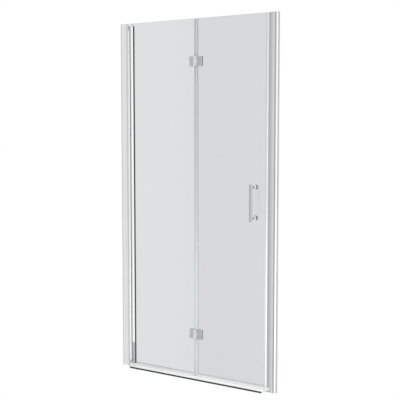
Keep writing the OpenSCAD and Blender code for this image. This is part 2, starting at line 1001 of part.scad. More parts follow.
module upper_hinge_pivot_leaf() pivot_leaf(hinge_z[1]);
module lower_hinge_pivot_leaf() pivot_leaf(hinge_z[0]);
module upper_hinge_leading_leaf() leading_leaf(hinge_z[1]);
module lower_hinge_leading_leaf() leading_leaf(hinge_z[0]);
module upper_hinge_pin() hinge_pin(hinge_z[1]);
module lower_hinge_pin() hinge_pin(hinge_z[0]);
module upper_pivot_clamp() clamp(-1, hinge_z[1]);
module lower_pivot_clamp() clamp(-1, hinge_z[0]);
module upper_leading_clamp() clamp(1, hinge_z[1]);
module lower_leading_clamp() clamp(1, hinge_z[0]);
module pivot_hinge_pads() pads(-1);
module leading_hinge_pads() pads(1);
module pivot_hinge_sleeves() hinge_sleeves(-1);
module leading_hinge_sleeves() hinge_sleeves(1);
module pivot_hinge_screws() hinge_screws(-1);
module leading_hinge_screws() hinge_screws(1);

// ---- Handle ----

module handle_bar() {
    color("lightgray")
        difference() {
            soft_block(handle_x - bar_w / 2, handle_x + bar_w / 2,
                       bar_back - bar_d, bar_back, handle_z - bar_l / 2,
                       handle_z + bar_l / 2, 1);
            for (z = post_z)
                round_y(handle_x, z, handle_bolt_r + press_fit,
                        bar_back - spigot_h - 0.5, bar_back + 1);
        }
}

// Post with a spigot that enters the bar and a threaded hole for its bolt
module handle_post(z) {
    color("lightgray")
        difference() {
            union() {
                round_y(handle_x, z, post_r, bar_back, rosette_front);
                round_y(handle_x, z, handle_bolt_r, bar_back - spigot_h,
                        bar_back + tiny);
            }
            round_y(handle_x, z, handle_bolt_r, rosette_front - bolt_thread,
                    rosette_front + 1);
        }
}

module rosette(z) {
    color("lightgray")
        difference() {
            union() {
                round_y(handle_x, z, rosette_r, rosette_front + 1, rosette_back);
                round_y(handle_x, z, rosette_r - 1, rosette_front,
                        rosette_front + 1, rosette_r);
            }
            round_y(handle_x, z, handle_bolt_r + 0.2, rosette_front - 1,
                    rosette_back + 1);
        }
}

// One washer on each face of the glass under each rosette or cap
module handle_washers() {
    color([0.12, 0.12, 0.13])
        for (z = post_z, y = [rosette_back, face])
            difference() {
                round_y(handle_x, z, rosette_r + 0.3, y, y + handle_washer_t);
                round_y(handle_x, z, handle_bolt_r + 0.2, y - 1, y + 2);
            }
}

module handle_sleeves() {
    color("white")
        for (z = post_z)
            sleeve(handle_x, z, handle_hole_r, handle_bolt_r);
}

// Bolt from the shower side through the glass into the post
module handle_bolts() {
    head_y = face + handle_washer_t;
    color("lightslategray")
        for (z = post_z)
            difference() {
                union() {
                    round_y(handle_x, z, handle_bolt_r - tiny,
                            rosette_front - bolt_thread + 1, head_y + tiny);
                    round_y(handle_x, z, bolt_head_r, head_y,
                            head_y + bolt_head_h);
                }
                translate([handle_x, head_y + bolt_head_h - 2.5, z])
                    rotate([-90, 0, 0])
                        cylinder(h = 3, r = 3, $fn = 6);
            }
}

// Hollow caps that hide the bolt heads on the shower side
module handle_inner_caps() {
    base = face + handle_washer_t;
    color("lightgray")
        for (z = post_z)
            difference() {
                union() {
                    round_y(handle_x, z, rosette_r, base, base + inner_cap_t - 1);
                    round_y(handle_x, z, rosette_r, base + inner_cap_t - 1,
                            base + inner_cap_t, rosette_r - 1);
                }
                round_y(handle_x, z, bolt_head_r + 0.5, base - 1,
                        base + bolt_head_h + 0.5);
            }
}

module upper_handle_post() handle_post(post_z[1]);
module lower_handle_post() handle_post(post_z[0]);
module upper_handle_rosette() rosette(post_z[1]);
module lower_handle_rosette() rosette(post_z[0]);

// ---- Threshold ----

// Outline in Y and Z: flat top, a slope to the shower and a lip at the front;
// foot_y is where the outline stands on the tray under that lip
module sill_outline(foot_y) {
    polygon([[foot_y, 0], [foot_y, foot_h],
             [-sill_front, foot_h], [-sill_front, sill_h - 0.4],
             [-sill_front + 0.4, sill_h], [sill_back - 5, sill_h],
             [sill_back, sill_h - 5], [sill_back, 0]]);
}

module foot_outline() {
    translate([-sill_front + foot_in, 0])
        square([foot_d - foot_in, foot_h]);
}

// Two long chambers lighten the threshold
module sill_chambers() {
    y0 = -sill_front + foot_d + sill_t;
    y1 = sill_back - 5;
    middle = (y0 + y1) / 2;
    translate([y0, sill_t])
        square([middle - sill_t / 2 - y0, sill_h - 2 * sill_t]);
    translate([middle + sill_t / 2, sill_t])
        square([y1 - middle - sill_t / 2, sill_h - 2 * sill_t]);
}

module threshold() {
    color("whitesmoke")
        along_x(sill_x0 + sill_cap, sill_x1 - sill_cap)
            difference() {
                sill_outline(-sill_front + foot_d);
                sill_chambers();
            }
}

module threshold_foot() {
    color([0.16, 0.16, 0.17])
        along_x(sill_x0 + sill_cap, sill_x1 - sill_cap)
            foot_outline();
}

// End cap with the full outline of the threshold and its foot strip
module sill_end(x0) {
    color("lightgray")
        along_x(x0, x0 + sill_cap)
            sill_outline(-sill_front + foot_in);
}

module threshold_hinge_cap() sill_end(sill_x0);
module threshold_strike_cap() sill_end(sill_x1 - sill_cap);

// ---- One line per piece ----

hinge_wall_channel();
strike_wall_channel();
hinge_jamb();
strike_jamb();
hinge_jamb_cap();
strike_jamb_cap();
hinge_jamb_seal();
strike_magnet_holder();
strike_magnet();
top_pivot_block();
bottom_pivot_block();
top_pivot_pin();
bottom_pivot_pin();
pivot_thrust_washer();
pivot_block_screws();
jamb_screws();
jamb_screw_caps();
threshold();
threshold_foot();
threshold_hinge_cap();
threshold_strike_cap();
pivot_glass();
pivot_stile();
stile_gasket();
top_stile_plug();
bottom_stile_plug();
pivot_drip_seal();
fold_seal_pivot();
upper_hinge_pivot_leaf();
lower_hinge_pivot_leaf();
upper_hinge_pin();
lower_hinge_pin();
upper_pivot_clamp();
lower_pivot_clamp();
pivot_hinge_pads();
pivot_hinge_sleeves();
pivot_hinge_screws();
leading_glass();
leading_drip_seal();
fold_seal_leading();
magnetic_seal();
door_magnet();
upper_hinge_leading_leaf();
lower_hinge_leading_leaf();
upper_leading_clamp();
lower_leading_clamp();
leading_hinge_pads();
leading_hinge_sleeves();
leading_hinge_screws();
handle_bar();
upper_handle_post();
lower_handle_post();
upper_handle_rosette();
lower_handle_rosette();
handle_washers();
handle_sleeves();
handle_bolts();
handle_inner_caps();
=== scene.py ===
"""Looks of a bifold shower door for a recess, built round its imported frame.

Lengths are in metres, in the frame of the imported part: +X from the hinge wall
to the strike wall, +Y into the shower and +Z up from the shower tray. Outlines
and the sizes that shape them are in millimetres, and the middle of the glass
is at y = 0.
"""
import json
import math

import bmesh
import bpy
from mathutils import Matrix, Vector


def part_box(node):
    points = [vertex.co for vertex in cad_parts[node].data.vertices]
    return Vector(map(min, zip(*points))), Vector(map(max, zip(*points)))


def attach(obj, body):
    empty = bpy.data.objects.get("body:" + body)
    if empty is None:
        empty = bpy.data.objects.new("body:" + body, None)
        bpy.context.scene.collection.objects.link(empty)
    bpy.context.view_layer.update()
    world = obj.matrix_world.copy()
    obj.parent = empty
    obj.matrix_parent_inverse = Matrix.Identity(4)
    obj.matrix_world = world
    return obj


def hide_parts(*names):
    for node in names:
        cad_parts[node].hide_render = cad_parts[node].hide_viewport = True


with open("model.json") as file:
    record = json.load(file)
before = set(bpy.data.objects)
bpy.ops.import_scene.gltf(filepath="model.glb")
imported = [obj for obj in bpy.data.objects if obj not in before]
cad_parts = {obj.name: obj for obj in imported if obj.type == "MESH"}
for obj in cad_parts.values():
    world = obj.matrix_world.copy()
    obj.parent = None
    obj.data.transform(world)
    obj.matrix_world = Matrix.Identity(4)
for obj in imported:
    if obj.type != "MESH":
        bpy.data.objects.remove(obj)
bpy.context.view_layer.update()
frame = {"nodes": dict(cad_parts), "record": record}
NODES = frame["nodes"]
BODY_OF = {node: body
           for body, nodes in frame["record"]["behaviour"]["bodies"].items()
           for node in nodes}
SLOT_OF = {entry["node"]: entry["material_slot"]
           for entry in frame["record"]["subparts"]}

MM = 0.001

# ----------------------------------------------------------------- camera

# Place in metres, tilt and turn in degrees, lens and sensor in millimetres
CAMERA_PLACE = (2.538, -3.833, 1.375)
CAMERA_TILT = 85.11
CAMERA_TURN = 33.24
CAMERA_LENS = 76.75
CAMERA_SENSOR = 36


def place_camera():
    """Camera at the place and angle that the door is seen from."""
    camera = bpy.data.objects.new("camera", bpy.data.cameras.new("camera"))
    bpy.context.scene.collection.objects.link(camera)
    camera.location = CAMERA_PLACE
    camera.rotation_euler = (math.radians(CAMERA_TILT), 0, math.radians(CAMERA_TURN))
    camera.data.lens = CAMERA_LENS
    camera.data.sensor_width = CAMERA_SENSOR
    bpy.context.scene.camera = camera


place_camera()

# ----------------------------------------------------------- shader helpers


def linear(hex_colour):
    """An sRGB hex colour as the linear colour that a socket takes."""
    channels = [int(hex_colour[i:i + 2], 16) / 255 for i in (0, 2, 4)]
    lit = [c / 12.92 if c <= 0.04045 else ((c + 0.055) / 1.055) ** 2.4
           for c in channels]
    return (*lit, 1.0)


def add(tree, kind, values=None, **settings):
    """Adds a shader node; values are numbers, or sockets to link from."""
    node = tree.nodes.new("ShaderNode" + kind)
    for name, value in settings.items():
        setattr(node, name, value)
    for socket, value in (values or {}).items():
        if isinstance(value, bpy.types.NodeSocket):
            tree.links.new(value, node.inputs[socket])
        else:
            node.inputs[socket].default_value = value
    return node


def new_material(name):
    """An empty node material, its tree and its output node."""
    material = bpy.data.materials.new(name)
    material.use_nodes = True
    tree = material.node_tree
    tree.nodes.clear()
    return material, tree, add(tree, "OutputMaterial")


def grain(tree, size_mm, stretch=(1, 1, 1), detail=2.0, seed=0.0):
    """Noise with cells size_mm wide, stretched along the axes."""
    place = add(tree, "TexCoord").outputs["Object"]
    scale = [1 / (size_mm * MM * s) for s in stretch]
    spot = add(tree, "Mapping", {"Vector": place, "Scale": scale,
                                 "Location": (seed, seed, seed)})
    noise = add(tree, "TexNoise", {"Vector": spot.outputs[0], "Scale": 1.0,
                                   "Detail": detail})
    return noise.outputs[0]


def spread(tree, value, low, high, source=(0.3, 0.7)):
    """Maps the middle range of a pattern to the range from low to high."""
    node = add(tree, "MapRange", {"Value": value, "From Min": source[0],
                                  "From Max": source[1],
                                  "To Min": low, "To Max": high})
    return node.outputs[0]


def two_tone(tree, factor, first, second):
    """Mixes two hex colours by a pattern."""
    node = add(tree, "Mix", {0: factor, 6: linear(first), 7: linear(second)},
               data_type="RGBA")
    return node.outputs[2]


def relief(tree, height, depth_mm):
    """Bump of a real depth."""
    return add(tree, "Bump", {"Height": height, "Distance": depth_mm * MM}).outputs[0]


def lit_through(tree, shader, tint):
    """Lets lamp light pass a clear piece, so that what is behind it is lit."""
    path = add(tree, "LightPath")
    clear = add(tree, "BsdfTransparent", {"Color": linear(tint)})
    mix = add(tree, "MixShader", {0: path.outputs["Is Shadow Ray"],
                                  1: shader, 2: clear.outputs[0]})
    return mix.outputs[0]


def seen_directly(tree):
    """1 where the camera looks, also through glass, and 0 for all other light."""
    path = add(tree, "LightPath")
    seen = add(tree, "Math", {0: path.outputs["Is Camera Ray"],
                              1: path.outputs["Is Transmission Ray"]},
               operation="MAXIMUM")
    return seen.outputs[0]


# -------------------------------------------------------------- materials


def extruded_aluminium(name, bright, dull, roughness, stretch, metallic=1.0):
    """Anodised extrusion: fine die lines run along the profile, and the anodic
    film makes the polish a little soft and uneven. An etched, satin film also
    scatters light, which a metallic share below 1 stands for."""
    material, tree, out = new_material(name)
    die_lines = grain(tree, 1.6, stretch, detail=4.0)
    cloud = grain(tree, 120, detail=3.0, seed=3.1)
    shader = add(tree, "BsdfPrincipled", {
        "Base Color": two_tone(tree, spread(tree, cloud, 0, 1), bright, dull),
        "Metallic": metallic,
        "Roughness": spread(tree, die_lines, roughness * 0.85, roughness * 1.2),
        "Normal": relief(tree, die_lines, 0.0015)})
    tree.links.new(shader.outputs[0], out.inputs["Surface"])
    return material


def chrome_plate(name, bright, dull):
    """Chromium on polished zinc or brass: a mirror with a faint polishing
    haze and small wipe marks."""
    material, tree, out = new_material(name)
    haze = grain(tree, 14, detail=5.0)
    wipe = grain(tree, 2.2, (1, 1, 9), detail=3.0, seed=7.7)
    shader = add(tree, "BsdfPrincipled", {
        "Base Color": two_tone(tree, spread(tree, haze, 0, 1), bright, dull),
        "Metallic": 1.0,
        "Roughness": spread(tree, haze, 0.05, 0.11),
        "Normal": relief(tree, wipe, 0.001)})
    tree.links.new(shader.outputs[0], out.inputs["Surface"])
    return material


def turned_steel(name):
    """Turned stainless steel of pins and screws: grey, with rings of tool marks
    that spread each highlight."""
    material, tree, out = new_material(name)
    marks = grain(tree, 0.5, (6, 6, 1), detail=3.0)
    cloud = grain(tree, 6, detail=2.0, seed=1.3)
    shader = add(tree, "BsdfPrincipled", {
        "Base Color": two_tone(tree, spread(tree, cloud, 0, 1), "C9C8C6", "B4B3B1"),
        "Metallic": 1.0,
        "Roughness": spread(tree, marks, 0.24, 0.38),
        "Normal": relief(tree, marks, 0.01)})
    tree.links.new(shader.outputs[0], out.inputs["Surface"])
    return material


def toughened_glass(name, colour, shade):
    """Clear toughened glass, which looks pale grey against white: the furnace
    rollers leave a very faint wave, and dried water leaves hardly visible
    specks on the face."""
    material, tree, out = new_material(name)
    roller_wave = grain(tree, 260, (1, 1, 0.6), detail=1.0)
    specks = grain(tree, 5, detail=6.0, seed=5.5)
    shader = add(tree, "BsdfPrincipled", {
        "Base Color": two_tone(tree, spread(tree, specks, 0, 1, (0.62, 0.72)),
                               colour, shade),
        "Roughness": spread(tree, specks, 0.0, 0.04, (0.6, 0.75)),
        "IOR": 1.52,
        "Transmission Weight": 1.0,
        "Normal": relief(tree, roller_wave, 0.01)})
    tree.links.new(lit_through(tree, shader.outputs[0], "EDF1F0"),
                   out.inputs["Surface"])
    return material


def ground_edge(name, colour, shade):
    """Ground and polished edge of the panes: light that runs the long way
    through the glass comes out green, and the grinding leaves it satin. The
    wheel marks are drawn eight times as coarse as they are, so that they show."""
    material, tree, out = new_material(name)
    wheel = grain(tree, 0.4, (8, 8, 8), detail=3.0)
    shader = add(tree, "BsdfPrincipled", {
        "Base Color": two_tone(tree, spread(tree, wheel, 0, 1), colour, shade),
        "Roughness": spread(tree, wheel, 0.25, 0.4),
        "IOR": 1.52,
        "Transmission Weight": 0.3,
        "Normal": relief(tree, wheel, 0.01)})
    tree.links.new(lit_through(tree, shader.outputs[0], "C8D6D2"),
                   out.inputs["Surface"])
    return material


def clear_pvc(name, colour, shade, roughness, clearness):
    """Extruded soft PVC of the clear seals: a cloudy strip with a wet shine and
    draw lines along it. Clearness is the share of light that goes through."""
    material, tree, out = new_material(name)
    cloud = grain(tree, 90, detail=2.0)
    lines = grain(tree, 0.8, (1, 1, 60), detail=2.0, seed=2.4)
    shader = add(tree, "BsdfPrincipled", {
        "Base Color": two_tone(tree, spread(tree, cloud, 0, 1), colour, shade),
        "Roughness": spread(tree, cloud, roughness, roughness + 0.1),
        "IOR": 1.45,
        "Transmission Weight": clearness,
        "Normal": relief(tree, lines, 0.003)})
    tree.links.new(lit_through(tree, shader.outputs[0], "E6ECEA"),
                   out.inputs["Surface"])
    return material


def moulded_plastic(name, colour, shade, roughness, size_mm=0.6):
    """Moulded or extruded plastic, or thick paint: an even tone, a soft shine
    and a fine skin."""
    material, tree, out = new_material(name)
    skin = grain(tree, size_mm, detail=3.0)
    cloud = grain(tree, 30, detail=2.0, seed=9.2)
    shader = add(tree, "BsdfPrincipled", {
        "Base Color": two_tone(tree, spread(tree, cloud, 0, 1), colour, shade),
        "Roughness": spread(tree, skin, roughness, roughness + 0.12),
        "IOR": 1.5,
        "Normal": relief(tree, skin, 0.01)})
    tree.links.new(shader.outputs[0], out.inputs["Surface"])
    return material


def extruded_rubber(name, colour, shade, stretch):
    """EPDM rubber: dull and dark, with talc-grey streaks along its length."""
    material, tree, out = new_material(name)
    streaks = grain(tree, 1.5, stretch, detail=4.0)
    pores = grain(tree, 0.35, detail=2.0, seed=4.2)
    shader = add(tree, "BsdfPrincipled", {
        "Base Color": two_tone(tree, spread(tree, streaks, 0, 1), colour, shade),
        "Roughness": spread(tree, pores, 0.55, 0.8),
        "IOR": 1.52,
        "Normal": relief(tree, pores, 0.03)})
    tree.links.new(shader.outputs[0], out.inputs["Surface"])
    return material


# Stretch of the lines on upright profiles, on those along the opening, and on
# pieces without a direction
UPRIGHT = (1, 1, 400)
ALONG = (400, 1, 1)
EVEN = (1, 1, 1)

# The finish of each material slot in the record
MATERIALS = {
    # Profiles, from the dull satin of the channels to the mirror of the stile;
    # the threshold is etched nearly white, for a sure foot
    "channel_aluminium": extruded_aluminium(
        "satin_anodised_channel", "D2D2D3", "CCCCCD", 0.4, UPRIGHT, 0.7),
    "jamb_aluminium": extruded_aluminium(
        "bright_anodised_jamb", "FAFAFB", "F7F7F8", 0.1, UPRIGHT),
    "stile_aluminium": extruded_aluminium(
        "polished_anodised_stile", "FCFCFC", "FAFAFA", 0.06, UPRIGHT),
    "threshold_aluminium": extruded_aluminium(
        "etched_anodised_threshold", "FCFCFC", "F9F9F9", 0.35, ALONG, 0.15),
    # Caps, blocks and bearings: pale and even, with a broad, soft highlight
    "cap_metal": moulded_plastic("satin_painted_cap", "C8C9CA", "C0C1C2", 0.3),
    "end_cap_plastic": moulded_plastic("grey_nylon_end_cap", "DADBDC", "D3D4D5", 0.3),
    "screw_cap_plastic": moulded_plastic("grey_plastic_screw_cap", "D4D5D6", "CBCCCD",
                                         0.28),
    # The pivot blocks' satin grey is raised nearly to the stile's paleness, a painted
    # highlight that carries the stile's shine on over them
    "pivot_block_metal": moulded_plastic("satin_cast_block", "E6E7E8", "DEDFE0", 0.32),
    "white_nylon": moulded_plastic("white_nylon_bearing", "ECECEA", "E2E2DF", 0.4),
    # Seals: milky and clear strips, and the dull dark magnets inside them
    "white_seal": moulded_plastic("milky_pvc_seal", "DFE1E1", "DADDDD", 0.25),
    "clear_seal": clear_pvc("clear_pvc_seal", "CACBCE", "C7C8CB", 0.2, 0.2),
    "magnet_strip": moulded_plastic("ferrite_magnet_strip", "3C3B3A", "4A4846", 0.6),
    # Rubber: near black, and without a shine
    "foot_rubber": extruded_rubber("black_epdm_foot", "1A1A1C", "252527", ALONG),
    "glazing_rubber": extruded_rubber("grey_epdm_gasket", "2E2F30", "3A3B3C", UPRIGHT),
    "pad_rubber": extruded_rubber("black_rubber_pad", "262627", "333334", UPRIGHT),
    # Fittings: mirrors, bright on the flat hinges; the handle's chrome is a greyer
    # copy of the same mirror, as painted shade; and grey steel inside
    "hinge_chrome": chrome_plate("chromed_zinc_hinge", "F6F7F8", "F2F3F4"),
    "handle_chrome": chrome_plate("chromed_brass_handle", "EAEBEC", "E6E7E8"),
    "steel": turned_steel("turned_stainless_steel"),
    # Panes of one glass: the leading one is a shade greyer, as painted shade
    "pivot_pane_glass": toughened_glass("toughened_glass_pivot", "DEE0E2", "D6D8DA"),
    "leading_pane_glass": toughened_glass("toughened_glass_leading", "D9DADD",
                                          "D1D2D5"),
}
# The channel and the end cap on the strike side are paler copies of those on the
# hinge side: painted light on the strike side
PAINTED_LIT_STRIKE_CHANNEL = extruded_aluminium("painted_lit_satin_channel", "FBFBFC", "F8F8F9", 0.4,
                                    UPRIGHT, 0.48)
PAINTED_LIT_END_CAP = moulded_plastic("painted_lit_nylon_end_cap", "EDEEEE", "E8E9E9", 0.3)
# The side of a channel that goes against the wall is left as it was extruded
MILL_FINISH = extruded_aluminium("mill_finish_wall_side", "DCDDDE", "D3D4D5", 0.35,
                                 UPRIGHT, 0.8)
# The fold shows as a green line and a pale one, because the pivot pane's seal
# is tinted and the leading pane's isn't
TINTED_SEAL = clear_pvc("tinted_pvc_seal", "BBC8C7", "B7C4C3", 0.2, 0.2)
FOLD_CLEAR = clear_pvc("bright_pvc_fold_seal", "D8D8DB", "D4D4D7", 0.2, 0.2)
# The lip beside the stile is whiter than the other white seals, as painted light
# in the shaded slit it closes; and the milky fins over the threshold
PAINTED_LIT_LIP = moulded_plastic("painted_lit_white_lip_seal", "FAFBFB", "F5F6F6", 0.3)
MILKY_SEAL = clear_pvc("milky_pvc_drip_seal", "DFE0E0", "DADBDB", 0.3, 0.35)
# Grey-green line where a pane is cut
PANE_EDGE = ground_edge("ground_glass_edge", "93A6A4", "899B99")
# Darker grey stretch at the foot of the stile
DARK_GREY_FOOT = moulded_plastic("darker_grey_stile_foot", "AAABAC", "A2A3A4", 0.35)
# The handle's posts are a much greyer copy of its chrome, as painted shade, and
# its rosettes are turned and satin, so that they stay pale from every side
SHADED_POST_CHROME = chrome_plate("shaded_chromed_brass_post", "C6C7C9", "C1C2C4")
SATIN_ROSETTE = extruded_aluminium("satin_turned_rosette", "F6F6F7", "F0F0F1", 0.35,
                                   EVEN, 0.35)

# Nodes whose finish differs from that of the others in their material slot
OWN_FINISH = {
    # Painted light: paler copies of the channel and end cap finishes on the strike
    # side
    "strike_wall_channel": PAINTED_LIT_STRIKE_CHANNEL,
    "threshold_strike_cap": PAINTED_LIT_END_CAP,
    # Painted shade: greyer chrome on the posts
    "upper_handle_post": SHADED_POST_CHROME,
    "lower_handle_post": SHADED_POST_CHROME,
    "upper_handle_rosette": SATIN_ROSETTE,
    "lower_handle_rosette": SATIN_ROSETTE,
}


def finish_of(node):
    """Finish of a CAD piece."""
    if node in OWN_FINISH:
        return OWN_FINISH[node]
    return MATERIALS[SLOT_OF[node]]


# ----------------------------------------------------------- shape helpers

# Edges that turn more than CRISP stay crisp, as do those that turn more than
# SLIGHT between faces broader than BROAD; below FLAT two faces are one, and
# corners nearer than WELD are one
CRISP = math.radians(30)
SLIGHT = math.radians(3.5)
FLAT = math.radians(0.15)
BROAD = 2.3 * MM
WELD = 0.002 * MM
# A face whose middle is this near a plane lies in it
TOUCH = 0.01 * MM


def span(node, axis):
    """Lowest and highest place of a CAD piece along an axis."""
    low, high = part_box(node)
    return low[axis], high[axis]


def span_mm(node, axis):
    """Lowest and highest place of a CAD piece along an axis, in mm."""
    return [end / MM for end in span(node, axis)]


def mirrored(outline):
    """The same outline on the other face of the glass, walked backwards."""
    return [(x, -y) for x, y in reversed(outline)]


def rounded(outline, radius, steps=4):
    """Outline in mm with an arc of about this radius at each corner."""
    curve = []
    for i, corner in enumerate(outline):
        ends = []
        for other in (outline[i - 1], outline[(i + 1) % len(outline)]):
            reach = math.dist(corner, other)
            share = min(radius / reach, 0.45)
            ends.append([c + (o - c) * share for c, o in zip(corner, other)])
        for k in range(steps + 1):
            t = k / steps
            curve.append([a * (1 - t) ** 2 + 2 * c * t * (1 - t) + b * t ** 2
                          for a, c, b in zip(ends[0], corner, ends[1])])
    return curve


def extrude(shape, outline, start, end, along):
    """Adds a bar of this outline; along is Z for plan outlines (x, y), or X for
    outlines across the door (y, z). The outline is in mm, its ends in metres."""
    rings = []
    for place in (start, end):
        ring = []
        for a, b in outline:
            spot = (a * MM, b * MM, place) if along == "Z" else (place, a * MM, b * MM)
            ring.append(shape.verts.new(spot))
        rings.append(ring)
    count = len(outline)
    for i in range(count):
        j = (i + 1) % count
        shape.faces.new((rings[0][i], rings[0][j], rings[1][j], rings[1][i]))
    shape.faces.new(rings[0])
    shape.faces.new(rings[1])


def copied(node):
    """The CAD piece as a clean mesh: one face for each flat side."""
    shape = bmesh.new()
    shape.from_mesh(NODES[node].data)
    bmesh.ops.remove_doubles(shape, verts=shape.verts, dist=WELD)
    bmesh.ops.dissolve_limit(shape, angle_limit=FLAT, verts=shape.verts,
                             edges=shape.edges)
    return shape


def score(shape, place, across):
    """Splits the faces that a plane crosses, and removes nothing."""
    bmesh.ops.bisect_plane(shape, plane_co=place, plane_no=across,
                           geom=shape.verts[:] + shape.edges[:] + shape.faces[:])


def breadth(face):
    """Width of a long face, across its longest edge."""
    return face.calc_area() / max(edge.calc_length() for edge in face.edges)


def is_crisp(edge):
    """A true corner turns a lot, or turns a little between two broad faces."""
    if len(edge.link_faces) != 2:
        return False
    turn = edge.calc_face_angle()
    if turn < SLIGHT:
        return False
    return turn > CRISP or min(breadth(face) for face in edge.link_faces) > BROAD


def ease_edges(piece, edge_mm, segments):
    """Rounds the crisp edges of a piece, so that they catch the light."""
    ease = piece.modifiers.new("eased_edges", "BEVEL")
    ease.width = edge_mm * MM
    ease.segments = segments
    ease.limit_method = "ANGLE"
    ease.angle_limit = CRISP
    ease.use_clamp_overlap = False


def finish_piece(name, shape, material, node, edge_mm=0.0, segments=2):
    """Makes the piece that stands for a CAD node, with its edges eased."""
    bmesh.ops.recalc_face_normals(shape, faces=shape.faces)
    for face in shape.faces:
        face.smooth = True
    for edge in shape.edges:
        edge.smooth = not is_crisp(edge)
    mesh = bpy.data.meshes.new(name)
    shape.to_mesh(mesh)
    shape.free()
    piece = bpy.data.objects.new(name, mesh)
    bpy.context.scene.collection.objects.link(piece)
    mesh.materials.append(material)
    if edge_mm:
        ease_edges(piece, edge_mm, segments)
    weigh = piece.modifiers.new("true_flats", "WEIGHTED_NORMAL")
    weigh.keep_sharp = True
    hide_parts(node)
    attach(piece, BODY_OF[node])
    return piece


def finished_copy(node, edge_mm, shape=None, segments=2):
    """Makes the piece from the CAD's own form, or from a changed copy of it."""
    return finish_piece("finished_" + node, shape or copied(node), finish_of(node),
                        node, edge_mm, segments)


def refinish(piece, material, chosen):
    """Gives another finish to those faces of a piece that are chosen."""
    piece.data.materials.append(material)
    last = len(piece.data.materials) - 1
    for face in piece.data.polygons:
        if chosen(face):
            face.material_index = last


# ---------------------------------------- pieces that keep the CAD's form

# Width in mm of the eased edge on each kind of piece
EASED = {
    0.15: ["pivot_block_screws", "jamb_screws", "pivot_hinge_screws",
           "leading_hinge_screws", "handle_bolts", "pivot_thrust_washer",
           "handle_washers", "pivot_hinge_pads", "leading_hinge_pads"],
    0.25: ["hinge_jamb", "strike_jamb", "top_stile_plug", "bottom_stile_plug",
           "threshold_foot"],
    0.4: ["hinge_jamb_cap", "strike_jamb_cap", "top_pivot_block",
          "bottom_pivot_block", "top_pivot_pin", "bottom_pivot_pin",
          "upper_hinge_pin", "lower_hinge_pin", "strike_magnet_holder",
          "upper_handle_post", "lower_handle_post", "handle_inner_caps"],
    0.6: ["threshold_hinge_cap", "threshold_strike_cap", "jamb_screw_caps",
          "upper_hinge_pivot_leaf", "lower_hinge_pivot_leaf",
          "upper_hinge_leading_leaf", "lower_hinge_leading_leaf",
          "upper_pivot_clamp", "lower_pivot_clamp", "upper_leading_clamp",
          "lower_leading_clamp"],
    0.9: ["handle_bar"],
}
# The same for the other profiles and for the threshold
PROFILE_EDGE = 0.25
THRESHOLD_EDGE = 0.3


def ease_copies():
    """Replaces plain CAD pieces by copies whose edges catch the light."""
    for edge_mm, nodes in EASED.items():
        for node in nodes:
            finished_copy(node, edge_mm)


def wall_channels():
    """Channels with a satin front and a mill-finish side for the wall."""
    for node, wall in (("hinge_wall_channel", 0), ("strike_wall_channel", 1)):
        wall_x = span(node, 0)[wall]
        refinish(finished_copy(node, PROFILE_EDGE), MILL_FINISH,
                 lambda face: abs(face.center.x - wall_x) < TOUCH)


def threshold_bar():
    """Low bar under the door; its aluminium front face takes black rubber as painted
    shade.
    """
    front_y = span("threshold", 1)[0]
    # Painted shade: the bar's own front face takes the black rubber
    refinish(finished_copy("threshold", THRESHOLD_EDGE, segments=3),
             MATERIALS["foot_rubber"],
             lambda face: abs(face.center.y - front_y) < TOUCH)


# ---------------------------------------------------------- pivot stile

# The stile, in mm: its radius and that of its bore, where to look on either side
# for the corner between a glazing lip and the tube, and where a taper takes it
STILE_RADIUS = 10.0
BORE_RADIUS = 8.0
LIP_CORNER_X = (6, 9)
LIP_CORNER_Y = (6.4, 6.6)
TAPERED_CORNER = (8.18, 5.75)
# Dark stripe down the front, in degrees towards the glass: the stretch with the
# dark rubber finish, the band that is sunk, and the share of the radius that is left
# there
DARK_STRIPE = (-1, 24)
SUNK_BAND = (5, 18)
SUNK_SHARE = 0.9
# The darker grey at the stile's foot, in mm: how high it reaches, and the faces
# that take it, in front of one plane and on the glass side of another
DARK_FOOT_TOP = 143.0
DARK_FOOT_FRONT = -5.5
DARK_FOOT_SIDE = 3.0


def stile_angle(x, y):
    """Degrees round the stile from its front towards the glass."""
    return math.degrees(math.atan2(x, -y))


def in_stretch(x, y, stretch):
    """Whether a place on the tube, in mm from its axis, is in this stretch."""
    return y < -BORE_RADIUS and stretch[0] < stile_angle(x, y) < stretch[1]


def shape_stile(shape, axis):
    """Tapers the glazing lips towards the tube, and sinks a band down its front."""
    for corner in shape.verts:
        x, y = corner.co.x / MM - axis, corner.co.y / MM
        if (LIP_CORNER_X[0] < x < LIP_CORNER_X[1]
                and LIP_CORNER_Y[0] < abs(y) < LIP_CORNER_Y[1]):
            corner.co.x = (axis + TAPERED_CORNER[0]) * MM
            corner.co.y = math.copysign(TAPERED_CORNER[1], y) * MM
        elif in_stretch(x, y, SUNK_BAND):
            corner.co.x = (axis + x * SUNK_SHARE) * MM
            corner.co.y = y * SUNK_SHARE * MM


def polished_stile():
    """Round stile with a stripe of dark rubber finish down its front, over a
    slightly sunk band, and darker grey on the front of its foot."""
    node = "pivot_stile"
    axis = span_mm(node, 0)[0] + STILE_RADIUS
    shape = copied(node)
    shape_stile(shape, axis)
    score(shape, (0, 0, DARK_FOOT_TOP * MM), (0, 0, 1))
    stile = finished_copy(node, PROFILE_EDGE, shape)

    def is_dark_stripe(face):
        """Whether a face is in the dark stripe."""
        x, y = face.center.x / MM - axis, face.center.y / MM
        return in_stretch(x, y, DARK_STRIPE)

    def takes_dark_foot(face):
        """Whether a face takes the darker grey of the foot."""
        x, y, z = [place / MM for place in face.center]
        return (z < DARK_FOOT_TOP and y < DARK_FOOT_FRONT and x - axis > DARK_FOOT_SIDE
                and not is_dark_stripe(face))

    refinish(stile, MATERIALS["glazing_rubber"], is_dark_stripe)
    refinish(stile, DARK_GREY_FOOT, takes_dark_foot)


# ------------------------------------------------------ panes and seals

